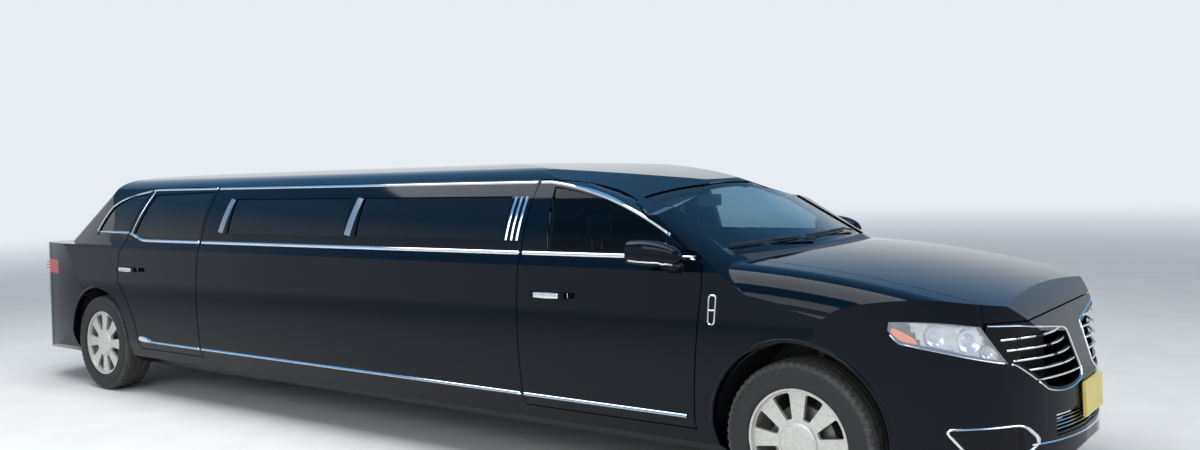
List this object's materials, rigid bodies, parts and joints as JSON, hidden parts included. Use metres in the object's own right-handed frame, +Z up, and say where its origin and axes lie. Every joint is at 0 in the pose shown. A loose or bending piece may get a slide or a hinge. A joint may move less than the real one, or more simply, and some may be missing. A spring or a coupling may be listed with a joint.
{
  "type": "stretch limousine",
  "caption": "Long passenger saloon with hinged doors, hood and liftgate, steered front wheels and a lounge cabin between the axles.",
  "frame": {"origin": "on the ground under the middle of the car's box", "axes": "+X forward along the car, +Y to its left side, +Z up"},
  "size_m": [8.321, 2.1882, 1.6678],
  "materials": {
    "paint": "gloss black with a deep blue cast",
    "dark_plastic": "fine grained matte black",
    "chrome": "bright polished",
    "glass_tint": "very dark tint",
    "glass_clear": "light tint",
    "lamp_clear": "clear lens",
    "lamp_red": "red lens",
    "tyre": "worn black rubber",
    "alloy": "satin machined",
    "cast": "raw cast",
    "steel": "dull",
    "underbody": "satin black underseal",
    "seal": "matte",
    "seat": "smooth black leather",
    "trim": "soft grained",
    "plate": "blank yellow plate"
  },
  "bodies": {
    "body": {"door_seals": "seal", "stretch_panels": "paint", "side_glass": "glass_tint", "roof": "paint", "a_pillars": "paint", "windscreen": "glass_clear", "cowl": "dark_plastic", "fenders": "paint", "front_bumper": "paint", "headlamps": "lamp_clear", "fog_lamps": "lamp_clear", "grille_wings": "chrome", "lower_grille": "chrome", "radiator": "dark_plastic", "front_plate": "plate", "quarter_panels": "paint", "rear_bumper": "paint", "tail_lamps": "lamp_red", "liftgate_seal": "seal", "sills": "paint", "floor_pan": "underbody", "wheelhouses": "dark_plastic", "front_cradle": "underbody", "rear_axle": "cast", "engine": "cast", "fuel_tank": "dark_plastic", "exhaust": "steel", "dashboard": "trim", "steering_wheel": "trim", "inner_mirror": "trim", "front_seats": "seat", "lounge_seats": "seat", "partition": "trim"},
    "front_door_right": {"front_door_right": "paint", "front_door_glass_right": "glass_tint", "mirror_right": "paint"},
    "front_door_left": {"front_door_left": "paint", "front_door_glass_left": "glass_tint", "mirror_left": "paint"},
    "rear_door_right": {"rear_door_right": "paint", "rear_door_glass_right": "glass_tint"},
    "rear_door_left": {"rear_door_left": "paint", "rear_door_glass_left": "glass_tint"},
    "hood": {"hood": "paint"},
    "liftgate": {"liftgate": "paint", "liftgate_glass": "glass_tint", "liftgate_lamp": "lamp_red"},
    "steering_right": {"knuckle_right": "cast"},
    "steering_left": {"knuckle_left": "cast"},
    "wheel_front_right": {"tyre_front_right": "tyre", "rim_front_right": "alloy"},
    "wheel_front_left": {"tyre_front_left": "tyre", "rim_front_left": "alloy"},
    "wheel_rear_right": {"tyre_rear_right": "tyre", "rim_rear_right": "alloy"},
    "wheel_rear_left": {"tyre_rear_left": "tyre", "rim_rear_left": "alloy"}
  },
  "joints": [
    {"name": "front_door_right_hinge", "type": "hinge", "parent": "body", "child": "front_door_right", "pos_m": [2.659, -0.97, 0.9], "axis": [0, 0, 1], "range_deg": [0, 68]},
    {"name": "rear_door_right_hinge", "type": "hinge", "parent": "body", "child": "rear_door_right", "pos_m": [-1.526, -0.97, 0.9], "axis": [0, 0, 1], "range_deg": [0, 68]},
    {"name": "front_door_left_hinge", "type": "hinge", "parent": "body", "child": "front_door_left", "pos_m": [2.659, 0.97, 0.9], "axis": [0, 0, -1], "range_deg": [0, 68]},
    {"name": "rear_door_left_hinge", "type": "hinge", "parent": "body", "child": "rear_door_left", "pos_m": [-1.526, 0.97, 0.9], "axis": [0, 0, -1], "range_deg": [0, 68]},
    {"name": "hood_hinge", "type": "hinge", "parent": "body", "child": "hood", "pos_m": [2.797, 0, 1.188], "axis": [0, -1, 0], "range_deg": [0, 55]},
    {"name": "liftgate_hinge", "type": "hinge", "parent": "body", "child": "liftgate", "pos_m": [-2.957, 0, 1.655], "axis": [0, 1, 0], "range_deg": [0, 75]},
    {"name": "steer_right", "type": "hinge", "parent": "body", "child": "steering_right", "pos_m": [3.1205, -0.79, 0.19], "axis": [0, 0.2329, 0.9725], "range_deg": [-35, 35]},
    {"name": "spin_front_right", "type": "hinge", "parent": "steering_right", "child": "wheel_front_right", "pos_m": [3.1205, -0.8225, 0.368], "axis": [0, 1, 0], "continuous": true},
    {"name": "spin_rear_right", "type": "hinge", "parent": "body", "child": "wheel_rear_right", "pos_m": [-2.9225, -0.8225, 0.368], "axis": [0, 1, 0], "continuous": true},
    {"name": "steer_left", "type": "hinge", "parent": "body", "child": "steering_left", "pos_m": [3.1205, 0.79, 0.19], "axis": [0, -0.2329, 0.9725], "range_deg": [-35, 35]},
    {"name": "spin_front_left", "type": "hinge", "parent": "steering_left", "child": "wheel_front_left", "pos_m": [3.1205, 0.8225, 0.368], "axis": [0, 1, 0], "continuous": true},
    {"name": "spin_rear_left", "type": "hinge", "parent": "body", "child": "wheel_rear_left", "pos_m": [-2.9225, 0.8225, 0.368], "axis": [0, 1, 0], "continuous": true}
  ],
  "couplings": [
    {"joint": "steer_left", "follows": "steer_right", "ratio": 1}
  ]
}
